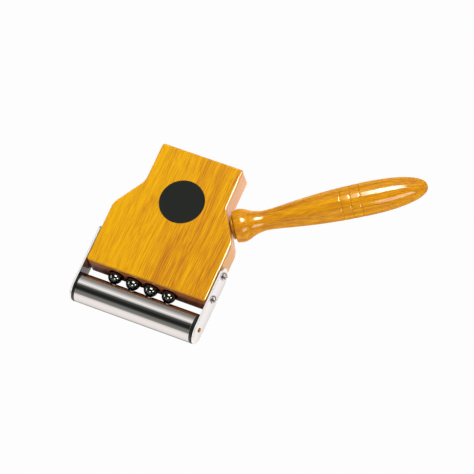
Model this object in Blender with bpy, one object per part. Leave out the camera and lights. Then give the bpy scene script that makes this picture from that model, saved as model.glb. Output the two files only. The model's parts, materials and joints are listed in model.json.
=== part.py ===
"""Cricket clicker: a hand-held rattle of hardwood and steel.

A bottle-shaped block has a row of blind bores in its front face, and each bore
holds a loose steel ball. Two steel arms on the block's sides carry a steel
roller, which closes the bores and is what the balls click against. A turned
handle stands on the block's right shoulder, nearly square to it.

Metres, +Z up. +X points to the handle's side and +Y away from the roller.
Everything hangs on one empty at the middle of the block's front face, and the
last step moves that empty so that the object stands on z = 0 over the origin.
"""
import math

import bmesh
import bpy
from mathutils import Matrix, Vector

MM = 0.001
GAP = 0.3 * MM                     # clearance between pieces that touch
MERGE = 0.001 * MM

# Block, seen from above: a wide front, two sloping shoulders and a narrow back
BLOCK_FRONT_WIDTH = 100 * MM
BLOCK_BACK_WIDTH = 68.2 * MM
BLOCK_LENGTH = 108.5 * MM
BLOCK_THICKNESS = 22.5 * MM
SHOULDER_FRONT = 50 * MM           # where the straight front sides end
SHOULDER_BACK = 74.8 * MM          # where the narrow back begins
FRONT_CORNER_RADIUS = 2.5 * MM
SHOULDER_CORNER_RADIUS = 12 * MM
BACK_CORNER_RADIUS = 2.5 * MM
BLOCK_EDGE_RADIUS = 2 * MM

# Balls, in a row of blind bores at half the block's thickness
BALL_COUNT = 4
BALL_DIAMETER = 11.1 * MM
BALL_PITCH = 15 * MM
BALL_ROW_OFFSET = -3.8 * MM        # the row's middle lies left of the block's
BORE_DIAMETER = 12 * MM
BORE_DEPTH = 15 * MM

# Roller, in front of the block on its own axle
ROLLER_DIAMETER = 22.6 * MM
ROLLER_WALL = 1 * MM
ROLLER_DISTANCE = 19.4 * MM        # from the block's front face to the axle
CAP_RIM = 1.5 * MM
CAP_RIM_DIAMETER = 22.8 * MM
CAP_CLEARANCE = 0.5 * MM           # from the cap's rim to the arm
CAP_PLUG_DEPTH = 8 * MM
AXLE_DIAMETER = 3 * MM
AXLE_HEAD_DIAMETER = 3.8 * MM
AXLE_HEAD_HEIGHT = 0.8 * MM
WASHER_DIAMETER = 8 * MM
WASHER_THICKNESS = 0.8 * MM

# Arms: flat strips, rounded about the axle and, more bluntly, behind the rear screw
ARM_WIDTH = 20.5 * MM
ARM_THICKNESS = 1.5 * MM
ARM_EDGE_RADIUS = 0.3 * MM
ARM_FRONT_REACH = 11.2 * MM        # the front end's round, from the axle
ARM_REAR_START = 26.1 * MM
ARM_REAR_REACH = 6.6 * MM
SCREW_PLACES = {"front": 6.9 * MM, "rear": 26.8 * MM}

# Arm screws: round-headed, with a cross recess
SCREW_HEAD_DIAMETER = 6.8 * MM
SCREW_HEAD_HEIGHT = 2.4 * MM
SCREW_HEAD_RIM = 0.6 * MM          # the head's straight side, under its dome
SCREW_SHANK_DIAMETER = 3.5 * MM
SCREW_LENGTH = 16 * MM
SCREW_POINT = 4 * MM
RECESS_SPAN = 3.8 * MM
RECESS_WIDTH = 1 * MM
RECESS_DEPTH = 1.4 * MM

# Handle, measured from the shoulder's face along its own axis
HANDLE_LENGTH = 152.2 * MM
HANDLE_SHIFT = 3.4 * MM            # from the shoulder's middle, towards the back
HANDLE_LEAN = math.radians(0.6)    # from square to the shoulder, towards the back
COLLAR_DIAMETER = 17 * MM
COLLAR_COVE = 0.8 * MM
COLLAR_END = 3.9 * MM
BULB_FACE_DIAMETER = 22.8 * MM
SHAFT_KNOTS = [                    # distance and diameter, bulb to club
    (4.9 * MM, 24.7 * MM),
    (8.5 * MM, 25.6 * MM),
    (12.5 * MM, 23.8 * MM),
    (17 * MM, 19.5 * MM),
    (22 * MM, 16.5 * MM),
    (27 * MM, 15.3 * MM),
    (36 * MM, 16.5 * MM),
    (49 * MM, 19.4 * MM),
    (67 * MM, 22.8 * MM),
    (85 * MM, 24.9 * MM),
    (102.5 * MM, 25.6 * MM),
]
TIP_FULLNESS = 2.3                 # 2 would make the tip an ellipse
RING_PLACES = (86 * MM, 93.5 * MM, 101 * MM)
RING_WIDTH = 1.2 * MM
RING_DEPTH = 0.5 * MM

# Dowel screw: threaded into the block and into the handle
DOWEL_DIAMETER = 6 * MM
DOWEL_REACH = 26 * MM              # into each of the two
DOWEL_POINT = 5 * MM

# Facets of round shapes
HANDLE_STEPS = 36
ROLLER_STEPS = 40
SMALL_STEPS = 16
DOME_STEPS = 3
ARM_END_STEPS = 14
CORNER_STEPS = 4
BLOCK_EDGE_STEPS = 3
BALL_STEPS = (24, 14)              # round the ball, and from pole to pole
SHAFT_STATION = 4 * MM
TIP_STATIONS = 9
SHARP_ANGLE = math.radians(30)


def clear_scene():
    for item in list(bpy.data.objects):
        bpy.data.objects.remove(item, do_unlink=True)


def finish(name, colour, roughness, metallic):
    """A plain Principled material."""
    material = bpy.data.materials.new(name)
    material.use_nodes = True
    shader = material.node_tree.nodes["Principled BSDF"]
    shader.inputs["Base Color"].default_value = (*colour, 1)
    shader.inputs["Roughness"].default_value = roughness
    shader.inputs["Metallic"].default_value = metallic
    return material


def empty(name, parent=None, location=(0, 0, 0), turn=0):
    item = bpy.data.objects.new(name, None)
    item.parent = parent
    item.location = location
    item.rotation_euler.z = turn
    bpy.context.collection.objects.link(item)
    return item


def piece(name, shape, material, parent, location=(0, 0, 0), turn=0):
    """Make a bmesh, or a mesh that is already made, into a named sub-part."""
    mesh = shape
    if isinstance(shape, bmesh.types.BMesh):
        mesh = bpy.data.meshes.new(name)
        shape.to_mesh(mesh)
        shape.free()
        mesh.materials.append(material)
        mesh.shade_smooth()
        mesh.set_sharp_from_angle(angle=SHARP_ANGLE)
    item = bpy.data.objects.new(name, mesh)
    item.parent = parent
    item.location = location
    item.rotation_euler.z = turn
    bpy.context.collection.objects.link(item)
    return item


def cut(item, shape, parent):
    """Subtract a shape from a sub-part and keep the cutter as a wire guide."""
    mesh = bpy.data.meshes.new(item.name + "_cutter")
    shape.to_mesh(mesh)
    shape.free()
    cutter = bpy.data.objects.new(mesh.name, mesh)
    cutter.parent = parent
    cutter.hide_render = True
    cutter.display_type = "WIRE"
    bpy.context.collection.objects.link(cutter)
    boolean = item.modifiers.new(mesh.name, "BOOLEAN")
    boolean.operation = "DIFFERENCE"
    boolean.object = cutter


def rounded_outline(corners, radii, steps):
    """Replace each corner of a closed outline by an arc of its own radius."""
    points = []
    for index, corner in enumerate(corners):
        to_last = (corners[index - 1] - corner).normalized()
        to_next = (corners[(index + 1) % len(corners)] - corner).normalized()
        half_angle = to_last.angle(to_next) / 2
        radius = radii[index]
        reach = radius / math.tan(half_angle)
        centre = corner + (to_last + to_next).normalized() * radius / math.sin(half_angle)
        start = (corner + to_last * reach - centre).normalized()
        end = (corner + to_next * reach - centre).normalized()
        points += [centre + start.slerp(end, step / steps) * radius for step in range(steps + 1)]
    return points


def prism(outline, low, high, edge_radius=0, edge_steps=1):
    """Extrude an XY outline from z = low to z = high and round its two rims."""
    bm = bmesh.new()
    face = bm.faces.new([bm.verts.new((point.x, point.y, low)) for point in outline])
    grown = bmesh.ops.extrude_face_region(bm, geom=[face])["geom"]
    raised = [part for part in grown if isinstance(part, bmesh.types.BMVert)]
    bmesh.ops.translate(bm, verts=raised, vec=(0, 0, high - low))
    bmesh.ops.recalc_face_normals(bm, faces=bm.faces)
    if edge_radius:
        rims = [edge for edge in bm.edges if abs(edge.verts[0].co.z - edge.verts[1].co.z) < MERGE]
        bmesh.ops.bevel(bm, geom=rims, offset=edge_radius, offset_type="OFFSET",
                        affect="EDGES", segments=edge_steps, profile=0.5)
    return bm


def turned(profile, steps, closed=False, place=Matrix(), bm=None):
    """Spin (distance, radius) points about the X axis of place."""
    bm = bm or bmesh.new()
    rail = [bm.verts.new(place @ Vector((distance, radius, 0))) for distance, radius in profile]
    pairs = list(zip(rail, rail[1:]))
    if closed:
        pairs.append((rail[-1], rail[0]))
    edges = [bm.edges.new(pair) for pair in pairs]
    bmesh.ops.spin(bm, geom=rail + edges, cent=place.translation, axis=place.col[0].xyz,
                   angle=math.tau, steps=steps, use_merge=True)
    bmesh.ops.remove_doubles(bm, verts=bm.verts, dist=MERGE)
    bmesh.ops.recalc_face_normals(bm, faces=bm.faces)
    return bm


def rod(start, end, diameter):
    """Profile of a plain round rod along X."""
    return [(start, 0), (start, diameter / 2), (end, diameter / 2), (end, 0)]


def smooth_value(knots, at):
    """Cubic through (place, value) knots, with each slope taken from its neighbours."""
    def slope(index):
        low = knots[max(index - 1, 0)]
        high = knots[min(index + 1, len(knots) - 1)]
        return (high[1] - low[1]) / (high[0] - low[0])

    index = max(i for i in range(len(knots) - 1) if knots[i][0] <= at)
    (left, first), (right, last) = knots[index], knots[index + 1]
    span = right - left
    t = (at - left) / span
    return ((2 * t**3 - 3 * t**2 + 1) * first + (t**3 - 2 * t**2 + t) * span * slope(index)
            + (3 * t**2 - 2 * t**3) * last + (t**3 - t**2) * span * slope(index + 1))


def block_outline():
    front = BLOCK_FRONT_WIDTH / 2
    back = BLOCK_BACK_WIDTH / 2
    right_half = [
        ((front, 0), FRONT_CORNER_RADIUS),
        ((front, SHOULDER_FRONT), SHOULDER_CORNER_RADIUS),
        ((back, SHOULDER_BACK), SHOULDER_CORNER_RADIUS),
        ((back, BLOCK_LENGTH), BACK_CORNER_RADIUS),
    ]
    left_half = [((-x, y), radius) for (x, y), radius in reversed(right_half)]
    corners = right_half + left_half
    return rounded_outline([Vector(corner) for corner, radius in corners],
                           [radius for corner, radius in corners], CORNER_STEPS)


def handle_seat():
    """Where the handle's axis meets the right shoulder, and its turn from +X."""
    shoulder_front = Vector((BLOCK_FRONT_WIDTH / 2, SHOULDER_FRONT))
    shoulder_back = Vector((BLOCK_BACK_WIDTH / 2, SHOULDER_BACK))
    along = (shoulder_back - shoulder_front).normalized()
    middle = (shoulder_front + shoulder_back) / 2
    seat = middle + along * HANDLE_SHIFT
    return (seat.x, seat.y, 0), math.atan2(-along.x, along.y) + HANDLE_LEAN


def ball_places():
    first = BALL_ROW_OFFSET - BALL_PITCH * (BALL_COUNT - 1) / 2
    return [first + BALL_PITCH * index for index in range(BALL_COUNT)]


def make_block(root, seat, wood):
    half = BLOCK_THICKNESS / 2
    board = prism(block_outline(), -half, half, BLOCK_EDGE_RADIUS, BLOCK_EDGE_STEPS)
    block = piece("wood_block", board, wood, root)

    # Ball bores, straight back from the front face
    bores = bmesh.new()
    backwards = Matrix.Rotation(math.pi / 2, 4, "Z")
    for x in ball_places():
        bore = rod(-BORE_DEPTH, BORE_DEPTH, BORE_DIAMETER)
        turned(bore, SMALL_STEPS * 2, place=Matrix.Translation((x, 0, 0)) @ backwards, bm=bores)
    cut(block, bores, root)

    # Pilot holes for the arm screws, from both sides
    pilots = bmesh.new()
    inner = BLOCK_FRONT_WIDTH / 2 + 2 * GAP + ARM_THICKNESS - SCREW_LENGTH - GAP
    outer = BLOCK_FRONT_WIDTH / 2 + ARM_THICKNESS
    for y in SCREW_PLACES.values():
        for side in (-1, 1):
            hole = rod(side * inner, side * outer, SCREW_SHANK_DIAMETER + 2 * GAP)
            turned(hole, SMALL_STEPS, place=Matrix.Translation((0, y, 0)), bm=pilots)
    cut(block, pilots, root)

    # Hole for the dowel screw, along the handle's axis
    cut(block, turned(rod(-DOWEL_REACH - GAP, DOWEL_REACH, DOWEL_DIAMETER + 2 * GAP), SMALL_STEPS), seat)


def handle_radius(distance):
    club_at, club_diameter = SHAFT_KNOTS[-1]
    if distance < club_at:
        return smooth_value(SHAFT_KNOTS, distance) / 2
    reach = (distance - club_at) / (HANDLE_LENGTH - club_at)
    return club_diameter / 2 * max(0, 1 - reach**TIP_FULLNESS) ** (1 / TIP_FULLNESS)


def handle_profile():
    """From the bottom of the dowel's hole, round the collar and out to the tip."""
    hole = DOWEL_DIAMETER / 2 + GAP
    collar = COLLAR_DIAMETER / 2
    profile = [
        (DOWEL_REACH + GAP, 0),
        (DOWEL_REACH + GAP, hole),
        (GAP, hole),
        (GAP, collar - COLLAR_COVE),
        (COLLAR_END / 3, collar - COLLAR_COVE),
        (COLLAR_END / 2, collar),
        (COLLAR_END - COLLAR_COVE, collar),
        (COLLAR_END, collar - COLLAR_COVE),
        (COLLAR_END, BULB_FACE_DIAMETER / 2),
    ]
    shaft_start = SHAFT_KNOTS[0][0]
    club_at = SHAFT_KNOTS[-1][0]
    count = round((club_at - shaft_start) / SHAFT_STATION)
    stations = [shaft_start + (club_at - shaft_start) * step / count for step in range(count + 1)]
    stations = [at for at in stations if all(abs(at - ring) > RING_WIDTH for ring in RING_PLACES)]
    for ring in RING_PLACES:
        stations += [ring - RING_WIDTH / 2, ring, ring + RING_WIDTH / 2]
    for step in range(1, TIP_STATIONS + 1):
        stations.append(club_at + (HANDLE_LENGTH - club_at) * math.sin(math.pi / 2 * step / TIP_STATIONS))
    for at in sorted(stations):
        groove = RING_DEPTH if at in RING_PLACES else 0
        profile.append((at, handle_radius(at) - groove))
    return profile


def make_handle(seat, wood, steel):
    piece("turned_handle", turned(handle_profile(), HANDLE_STEPS), wood, seat)
    radius = DOWEL_DIAMETER / 2
    dowel = [
        (-DOWEL_REACH, 0),
        (-DOWEL_REACH + DOWEL_POINT, radius),
        (DOWEL_REACH - DOWEL_POINT, radius),
        (DOWEL_REACH, 0),
    ]
    piece("handle_dowel_screw", turned(dowel, SMALL_STEPS), steel, seat)


def arm_outline():
    """A strip along X whose two ends are half ellipses of unlike reach."""
    points = []
    ends = (
        (ARM_REAR_START, ARM_REAR_REACH, -math.pi / 2),
        (-ROLLER_DISTANCE, ARM_FRONT_REACH, math.pi / 2),
    )
    for middle, reach, start in ends:
        for step in range(ARM_END_STEPS + 1):
            angle = start + math.pi * step / ARM_END_STEPS
            points.append(Vector((middle + reach * math.cos(angle), ARM_WIDTH / 2 * math.sin(angle))))
    return points


def make_arm(side_name, side, root, steel, screw_mesh):
    """One arm with its two screws, on the left (side -1) or right (side 1) of the block."""
    inner = BLOCK_FRONT_WIDTH / 2 + GAP
    arm_shape = prism(arm_outline(), inner, inner + ARM_THICKNESS, ARM_EDGE_RADIUS)
    for vert in arm_shape.verts:
        along, across, out = vert.co
        vert.co = (side * out, along, across)
    bmesh.ops.recalc_face_normals(arm_shape, faces=arm_shape.faces)
    arm = piece(side_name + "_arm", arm_shape, steel, root)

    holes = bmesh.new()
    start, end = side * (inner - ARM_THICKNESS), side * (inner + 2 * ARM_THICKNESS)
    drillings = [(y, SCREW_SHANK_DIAMETER) for y in SCREW_PLACES.values()]
    drillings.append((-ROLLER_DISTANCE, AXLE_DIAMETER))
    for y, diameter in drillings:
        hole = rod(start, end, diameter + 2 * GAP)
        turned(hole, SMALL_STEPS, place=Matrix.Translation((0, y, 0)), bm=holes)
    cut(arm, holes, root)

    under_head = side * (inner + ARM_THICKNESS + GAP)
    for place_name, y in SCREW_PLACES.items():
        name = f"{side_name}_{place_name}_screw"
        piece(name, screw_mesh, None, root, (under_head, y, 0), math.pi if side < 0 else 0)


def make_screw_mesh(steel):
    """A round-headed wood screw along +X, with x = 0 under its head."""
    head = SCREW_HEAD_DIAMETER / 2
    shank = SCREW_SHANK_DIAMETER / 2
    profile = [(-SCREW_LENGTH, 0), (-SCREW_LENGTH + SCREW_POINT, shank), (0, shank), (0, head)]
    dome = SCREW_HEAD_HEIGHT - SCREW_HEAD_RIM
    for step in range(DOME_STEPS + 1):
        angle = math.pi / 2 * step / DOME_STEPS
        profile.append((SCREW_HEAD_RIM + dome * math.sin(angle), head * math.cos(angle)))
    screw = piece("screw_pattern", turned(profile, SMALL_STEPS), steel, None)

    span, width = RECESS_SPAN / 2, RECESS_WIDTH / 2
    quarter = [Vector((span, width)), Vector((width, width)), Vector((width, span))]
    cross = [Matrix.Rotation(math.pi / 2 * turn, 2) @ point for turn in range(4) for point in quarter]
    recess = prism(cross, SCREW_HEAD_HEIGHT - RECESS_DEPTH, SCREW_HEAD_HEIGHT + RECESS_DEPTH)
    for vert in recess.verts:
        vert.co = (vert.co.z, vert.co.x, vert.co.y)
    cut(screw, recess, None)

    bpy.context.view_layer.update()
    shaped = screw.evaluated_get(bpy.context.evaluated_depsgraph_get())
    mesh = bpy.data.meshes.new_from_object(shaped)
    for item in (bpy.data.objects["screw_pattern_cutter"], screw):
        bpy.data.objects.remove(item, do_unlink=True)
    return mesh


def make_roller(root, chrome, steel, plastic, brass):
    """Tube, end caps, washers and axle, all on an empty at the middle of the axle."""
    axis = empty("roller_axis", root, (0, -ROLLER_DISTANCE, 0))
    arm_inside = BLOCK_FRONT_WIDTH / 2 + GAP
    washer_outside = arm_inside - GAP
    washer_inside = washer_outside - WASHER_THICKNESS
    cap_outside = arm_inside - CAP_CLEARANCE
    cap_inside = cap_outside - CAP_RIM
    tube_end = cap_inside - GAP
    outer = ROLLER_DIAMETER / 2
    bore = outer - ROLLER_WALL
    axle_clear = AXLE_DIAMETER / 2 + GAP

    tube = [(tube_end, outer), (-tube_end, outer), (-tube_end, bore), (tube_end, bore)]
    piece("roller_tube", turned(tube, ROLLER_STEPS, closed=True), chrome, axis)

    # Each cap has a shallow seat in its outer face, where a washer lies
    rim = CAP_RIM_DIAMETER / 2
    seat_floor = washer_inside - GAP
    seat_radius = WASHER_DIAMETER / 2 + GAP
    cap = [
        (seat_floor, axle_clear),
        (seat_floor, seat_radius),
        (cap_outside, seat_radius),
        (cap_outside, rim - GAP),
        (cap_outside - GAP, rim),
        (cap_inside, rim),
        (cap_inside, bore - GAP),
        (cap_inside - CAP_PLUG_DEPTH, bore - GAP),
        (cap_inside - CAP_PLUG_DEPTH, axle_clear),
    ]
    washer = [
        (washer_inside, axle_clear),
        (washer_inside, WASHER_DIAMETER / 2),
        (washer_outside, WASHER_DIAMETER / 2),
        (washer_outside, axle_clear),
    ]
    for side_name, turn in (("left", math.pi), ("right", 0)):
        piece(side_name + "_end_cap", turned(cap, ROLLER_STEPS, closed=True), plastic, axis, turn=turn)
        piece(side_name + "_washer", turned(washer, SMALL_STEPS, closed=True), steel, axis, turn=turn)

    head_at = arm_inside + ARM_THICKNESS + GAP
    head = AXLE_HEAD_DIAMETER / 2
    end = [(head_at, AXLE_DIAMETER / 2)]
    for step in range(DOME_STEPS + 1):
        angle = math.pi / 2 * step / DOME_STEPS
        end.append((head_at + AXLE_HEAD_HEIGHT * math.sin(angle), head * math.cos(angle)))
    axle = [(-distance, radius) for distance, radius in reversed(end)] + end
    piece("roller_axle", turned(axle, SMALL_STEPS), brass, axis)


def make_balls(root, steel):
    """Each ball lies against the roller, half out of its bore."""
    roller_face = ROLLER_DISTANCE - ROLLER_DIAMETER / 2
    rest = BALL_DIAMETER / 2 + GAP - roller_face
    for index, x in enumerate(ball_places()):
        ball = bmesh.new()
        bmesh.ops.create_uvsphere(ball, u_segments=BALL_STEPS[0], v_segments=BALL_STEPS[1],
                                  radius=BALL_DIAMETER / 2)
        piece(f"steel_ball_{index + 1}", ball, steel, root, (x, rest, 0))


def stand_on_origin(root):
    """Move the whole object so that its box stands on z = 0 over the origin."""
    bpy.context.view_layer.update()
    graph = bpy.context.evaluated_depsgraph_get()
    corners = []
    for item in bpy.data.objects:
        if item.type == "MESH" and not item.hide_render:
            shaped = item.evaluated_get(graph)
            corners += [shaped.matrix_world @ vert.co for vert in shaped.data.vertices]
    low = [min(corner[axis] for corner in corners) for axis in range(3)]
    high = [max(corner[axis] for corner in corners) for axis in range(3)]
    root.location = (-(low[0] + high[0]) / 2, -(low[1] + high[1]) / 2, -low[2])
    bpy.context.view_layer.update()
    print("size", [round((high[axis] - low[axis]) / MM, 2) for axis in range(3)], "mm")


def main():
    clear_scene()
    wood = finish("lacquered_wood", (0.73, 0.38, 0.03), 0.25, 0)
    chrome = finish("chrome_plate", (0.80, 0.80, 0.80), 0.08, 1)
    bright_steel = finish("bright_steel", (0.78, 0.77, 0.76), 0.2, 1)
    ball_steel = finish("ball_steel", (0.55, 0.55, 0.56), 0.06, 1)
    plastic = finish("black_plastic", (0.015, 0.015, 0.016), 0.4, 0)
    brass = finish("brass", (0.72, 0.40, 0.14), 0.3, 1)

    root = empty("front_face_middle")
    place, turn = handle_seat()
    seat = empty("handle_seat", root, place, turn)

    make_block(root, seat, wood)
    make_handle(seat, wood, bright_steel)
    screw_mesh = make_screw_mesh(bright_steel)
    make_arm("left", -1, root, bright_steel, screw_mesh)
    make_arm("right", 1, root, bright_steel, screw_mesh)
    make_roller(root, chrome, bright_steel, plastic, brass)
    make_balls(root, ball_steel)
    stand_on_origin(root)

    for name in ("front_face_middle", "roller_axis", "handle_seat"):
        print(name, [round(value / MM, 3) for value in bpy.data.objects[name].matrix_world.translation])


main()
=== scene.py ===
# %% [markdown]
# # A hand clicker of wood and steel
#
# The real thing is a rattle: a bottle-shaped block of lacquered wood, four loose steel
# balls in bores in its front face, a chrome roller in front of them and a turned handle.
# The packed part already has every piece at its real size and place. This lesson dresses
# it: each piece is modelled again with finer roundings and gets the finish of the real one.

# %% Load the packed part
import json
import math
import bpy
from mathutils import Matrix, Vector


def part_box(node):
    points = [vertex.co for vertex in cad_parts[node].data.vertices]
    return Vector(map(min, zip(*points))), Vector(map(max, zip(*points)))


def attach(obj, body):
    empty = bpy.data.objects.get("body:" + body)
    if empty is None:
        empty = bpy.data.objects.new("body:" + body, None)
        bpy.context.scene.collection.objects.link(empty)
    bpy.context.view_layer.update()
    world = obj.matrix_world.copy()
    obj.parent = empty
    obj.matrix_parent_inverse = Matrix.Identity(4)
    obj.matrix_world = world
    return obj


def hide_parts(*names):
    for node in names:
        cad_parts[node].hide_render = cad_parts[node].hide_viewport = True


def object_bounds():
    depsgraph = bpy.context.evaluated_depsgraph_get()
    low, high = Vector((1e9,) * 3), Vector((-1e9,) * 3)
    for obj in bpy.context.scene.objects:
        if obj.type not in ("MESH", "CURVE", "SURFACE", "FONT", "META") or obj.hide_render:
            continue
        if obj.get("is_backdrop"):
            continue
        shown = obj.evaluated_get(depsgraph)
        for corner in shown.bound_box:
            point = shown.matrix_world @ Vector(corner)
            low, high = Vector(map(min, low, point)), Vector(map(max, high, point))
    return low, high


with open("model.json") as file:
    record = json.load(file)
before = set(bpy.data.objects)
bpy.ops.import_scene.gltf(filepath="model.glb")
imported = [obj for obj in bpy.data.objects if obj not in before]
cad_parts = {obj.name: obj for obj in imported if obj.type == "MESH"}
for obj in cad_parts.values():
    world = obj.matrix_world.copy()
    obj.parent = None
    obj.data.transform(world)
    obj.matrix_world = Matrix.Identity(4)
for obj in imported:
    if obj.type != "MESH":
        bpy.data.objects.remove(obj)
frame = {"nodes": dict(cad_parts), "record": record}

from types import SimpleNamespace

import bmesh
import bpy
from mathutils import Matrix, Quaternion, Vector

MM = 0.001
cad_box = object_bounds()
print("solids", sorted(frame["nodes"]))
print("size in mm", [round(side / MM, 1) for side in cad_box[1] - cad_box[0]])

# %% [markdown]
# ## Places
#
# Sizes could be typed in a second time, but then two files could disagree. So the places
# are measured on the solids: the block gives the front face, the tube the roller's axis,
# and the middle of the dowel screw is the point where the handle meets the shoulder. Only
# the slope of the shoulder is given again, because a box doesn't show it.

# %% Measure the places that everything hangs on
boxes = {node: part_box(node) for node in frame["nodes"]}
middle = {node: (low + high) / 2 for node, (low, high) in boxes.items()}
extent = {node: high - low for node, (low, high) in boxes.items()}
block_low, block_high = boxes["wood_block"]
front = Vector((middle["wood_block"].x, block_low.y, middle["wood_block"].z))
roller_axis = middle["roller_tube"]
seat = middle["handle_dowel_screw"]
SHOULDER_RUN = 24.8 * MM
SHOULDER_FALL = 15.9 * MM
HANDLE_LEAN = math.radians(0.6)
shoulder_slope = math.atan2(SHOULDER_FALL, SHOULDER_RUN)
handle_turn = shoulder_slope + HANDLE_LEAN
handle_place = Matrix.Translation(seat) @ Matrix.Rotation(handle_turn, 4, "Z")
for label, place in (("front face", front), ("roller axis", roller_axis), ("handle seat", seat)):
    print(label, [round(value / MM, 2) for value in place])

# %% [markdown]
# ## Expressions for shader nodes
#
# A finish is a network of nodes, and writing each node and link by hand hides the idea.
# A small class wraps one output socket and overloads the arithmetic signs, so a mask can
# be written as `1 - mask`. Every other kind of node comes from one method.

# %% Sockets that can be added and multiplied
class Socket:
    """One node output that can stand in a Python expression."""

    def __init__(self, nodes, output):
        self.nodes = nodes
        self.output = output

    def math(self, operation, first, second):
        return self.nodes.node("Math", {"operation": operation}, {0: first, 1: second})

    def __add__(self, other):
        return self.math("ADD", self, other)

    def __radd__(self, other):
        return self.math("ADD", other, self)

    def __sub__(self, other):
        return self.math("SUBTRACT", self, other)

    def __rsub__(self, other):
        return self.math("SUBTRACT", other, self)

    def __mul__(self, other):
        return self.math("MULTIPLY", self, other)

    def __rmul__(self, other):
        return self.math("MULTIPLY", other, self)


print("signs that sockets take: + - *")


# %% A node tree with one method for any node
class Nodes:
    """An empty node tree, with one method that makes any node in it."""

    def __init__(self, tree):
        self.tree = tree
        tree.nodes.clear()

    def node(self, kind, settings=None, sockets=None, output=0):
        made = self.tree.nodes.new("ShaderNode" + kind)
        for name, value in (settings or {}).items():
            if name == "stops":
                self.set_stops(made.color_ramp, value)
            else:
                setattr(made, name, value)
        for name, value in (sockets or {}).items():
            if isinstance(value, Socket):
                self.tree.links.new(value.output, made.inputs[name])
            else:
                made.inputs[name].default_value = value
        return Socket(self, made.outputs[output]) if made.outputs else None

    def set_stops(self, ramp, stops):
        for index, (position, colour) in enumerate(stops):
            stop = ramp.elements[index] if index < 2 else ramp.elements.new(position)
            stop.position = position
            stop.color = (*colour, 1)

    def mix(self, factor, first, second):
        """Blend two colours. The Mix node keeps them behind the sockets of its other types."""
        first, second = (value if isinstance(value, Socket) else (*value, 1) for value in (first, second))
        return self.node("Mix", {"data_type": "RGBA"}, {0: factor, 6: first, 7: second}, output=2)

    def noise(self, place, detail=2.0, roughness=0.5, output="Fac"):
        sockets = {"Vector": place, "Scale": 1.0, "Detail": detail, "Roughness": roughness}
        return self.node("TexNoise", sockets=sockets, output=output)

    def remap(self, value, low, high, to_low=0.0, to_high=1.0, curve="LINEAR"):
        sockets = {"Value": value, "From Min": low, "From Max": high, "To Min": to_low, "To Max": to_high}
        return self.node("MapRange", {"interpolation_type": curve}, sockets)

    def bump(self, height, strength, depth):
        return self.node("Bump", sockets={"Height": height, "Strength": strength, "Distance": depth})

    def axis(self, vector, letter):
        return self.node("SeparateXYZ", sockets={"Vector": vector}, output=letter)

    def absolute(self, value):
        return self.node("Math", {"operation": "ABSOLUTE"}, {0: value})

    def facing(self):
        """From 0, where a face looks at the viewer, to 1 at its rim. It only steers gloss."""
        return self.node("LayerWeight", sockets={"Blend": 0.5}, output="Facing")

    def stretched(self, place, sizes):
        """The place counted in cells of the given sizes, in metres."""
        counts = tuple(1 / size for size in sizes)
        return self.node("VectorMath", {"operation": "MULTIPLY"}, {0: place, 1: counts})

    def surface(self, sockets):
        shader = self.node("BsdfPrincipled", sockets=sockets)
        self.node("OutputMaterial", sockets={"Surface": shader})


def start_finish(name):
    material = bpy.data.materials.new(name)
    material.use_nodes = True
    return material, Nodes(material.node_tree)


print("ready-made nodes:", [name for name in vars(Nodes) if "_" not in name])

# %% [markdown]
# ## Grain
#
# The block and the handle are an amber-stained hardwood. Its grain is slow bands that
# wander a little, fine straight lines and short dark flecks. A picture of wood would
# stretch over the edges, so the grain is solid noise, squeezed across the fibres. It runs
# on from one face to the next.

# %% Grain along the fibres
WANDER = (110 * MM, 40 * MM, 40 * MM)
WANDER_REACH = 5 * MM
BAND = (260 * MM, 7 * MM, 7 * MM)
LINE = (30 * MM, 0.46 * MM, 0.46 * MM)
FLECK = (11 * MM, 0.32 * MM, 0.32 * MM)
FLECK_SHOWS = (0.58, 0.72)
BAND_CONTRAST = 0.30


def wood_grain(nodes, fibre_turn, shade, contrast, coarse=1.0, shift=(0, 0, 0)):
    """Noises along fibres that run in +X turned by fibre_turn, and the tone that they give."""
    place = nodes.node("TexCoord", output="Object")
    turn = {"Vector": place, "Location": shift, "Rotation": (0, 0, -fibre_turn)}
    fibres = nodes.node("Mapping", sockets=turn)
    wander = nodes.noise(nodes.stretched(fibres, WANDER), output="Color")
    reach = (0, WANDER_REACH, WANDER_REACH)
    bent = nodes.node("VectorMath", {"operation": "MULTIPLY_ADD"}, {0: wander, 1: reach, 2: fibres})
    bands = nodes.noise(nodes.stretched(bent, BAND), detail=3)
    line_cells = nodes.stretched(bent, [size * coarse for size in LINE])
    lines = nodes.noise(line_cells, detail=3, roughness=0.65)
    fleck_cells = nodes.stretched(bent, [size * coarse for size in FLECK])
    flecks = nodes.remap(nodes.noise(fleck_cells), *FLECK_SHOWS)
    tone = 0.5 + shade + BAND_CONTRAST * (bands - 0.5) + contrast * (lines - 0.5)
    return SimpleNamespace(place=place, fibres=fibres, bent=bent, bands=bands, lines=lines,
                           flecks=flecks, tone=tone, contrast=contrast)


print("size of a grain line in mm", [round(size / MM, 2) for size in LINE])

# %% [markdown]
# ## Stain and lacquer
#
# One stain colours both pieces: a ramp over the grain's tone, from brown to pale amber. The
# lacquer is a coat. All the gloss is on top, and the wood under it has none of its own, so
# the colour stays deep where no light is mirrored. The flecks are open pores, and sink in.

# %% Stain and lacquer
DARK_WOOD = (0.47, 0.155, 0.010)
AMBER_WOOD = (0.71, 0.305, 0.007)
PALE_WOOD = (0.82, 0.425, 0.003)
FLECK_WOOD = (0.36, 0.11, 0.010)
TONES = [(0.34, DARK_WOOD), (0.50, AMBER_WOOD), (0.62, PALE_WOOD)]
FLECK_STRENGTH = 0.5
FLECK_DEPTH = 0.05 * MM
NOISE_RANGE = (0.3, 0.7)  # most values of a noise lie here


def stained(nodes, grain, tone):
    colour = nodes.node("ValToRGB", {"stops": TONES}, {"Fac": tone})
    return nodes.mix(grain.flecks * (FLECK_STRENGTH * grain.contrast), colour, FLECK_WOOD)


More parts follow.
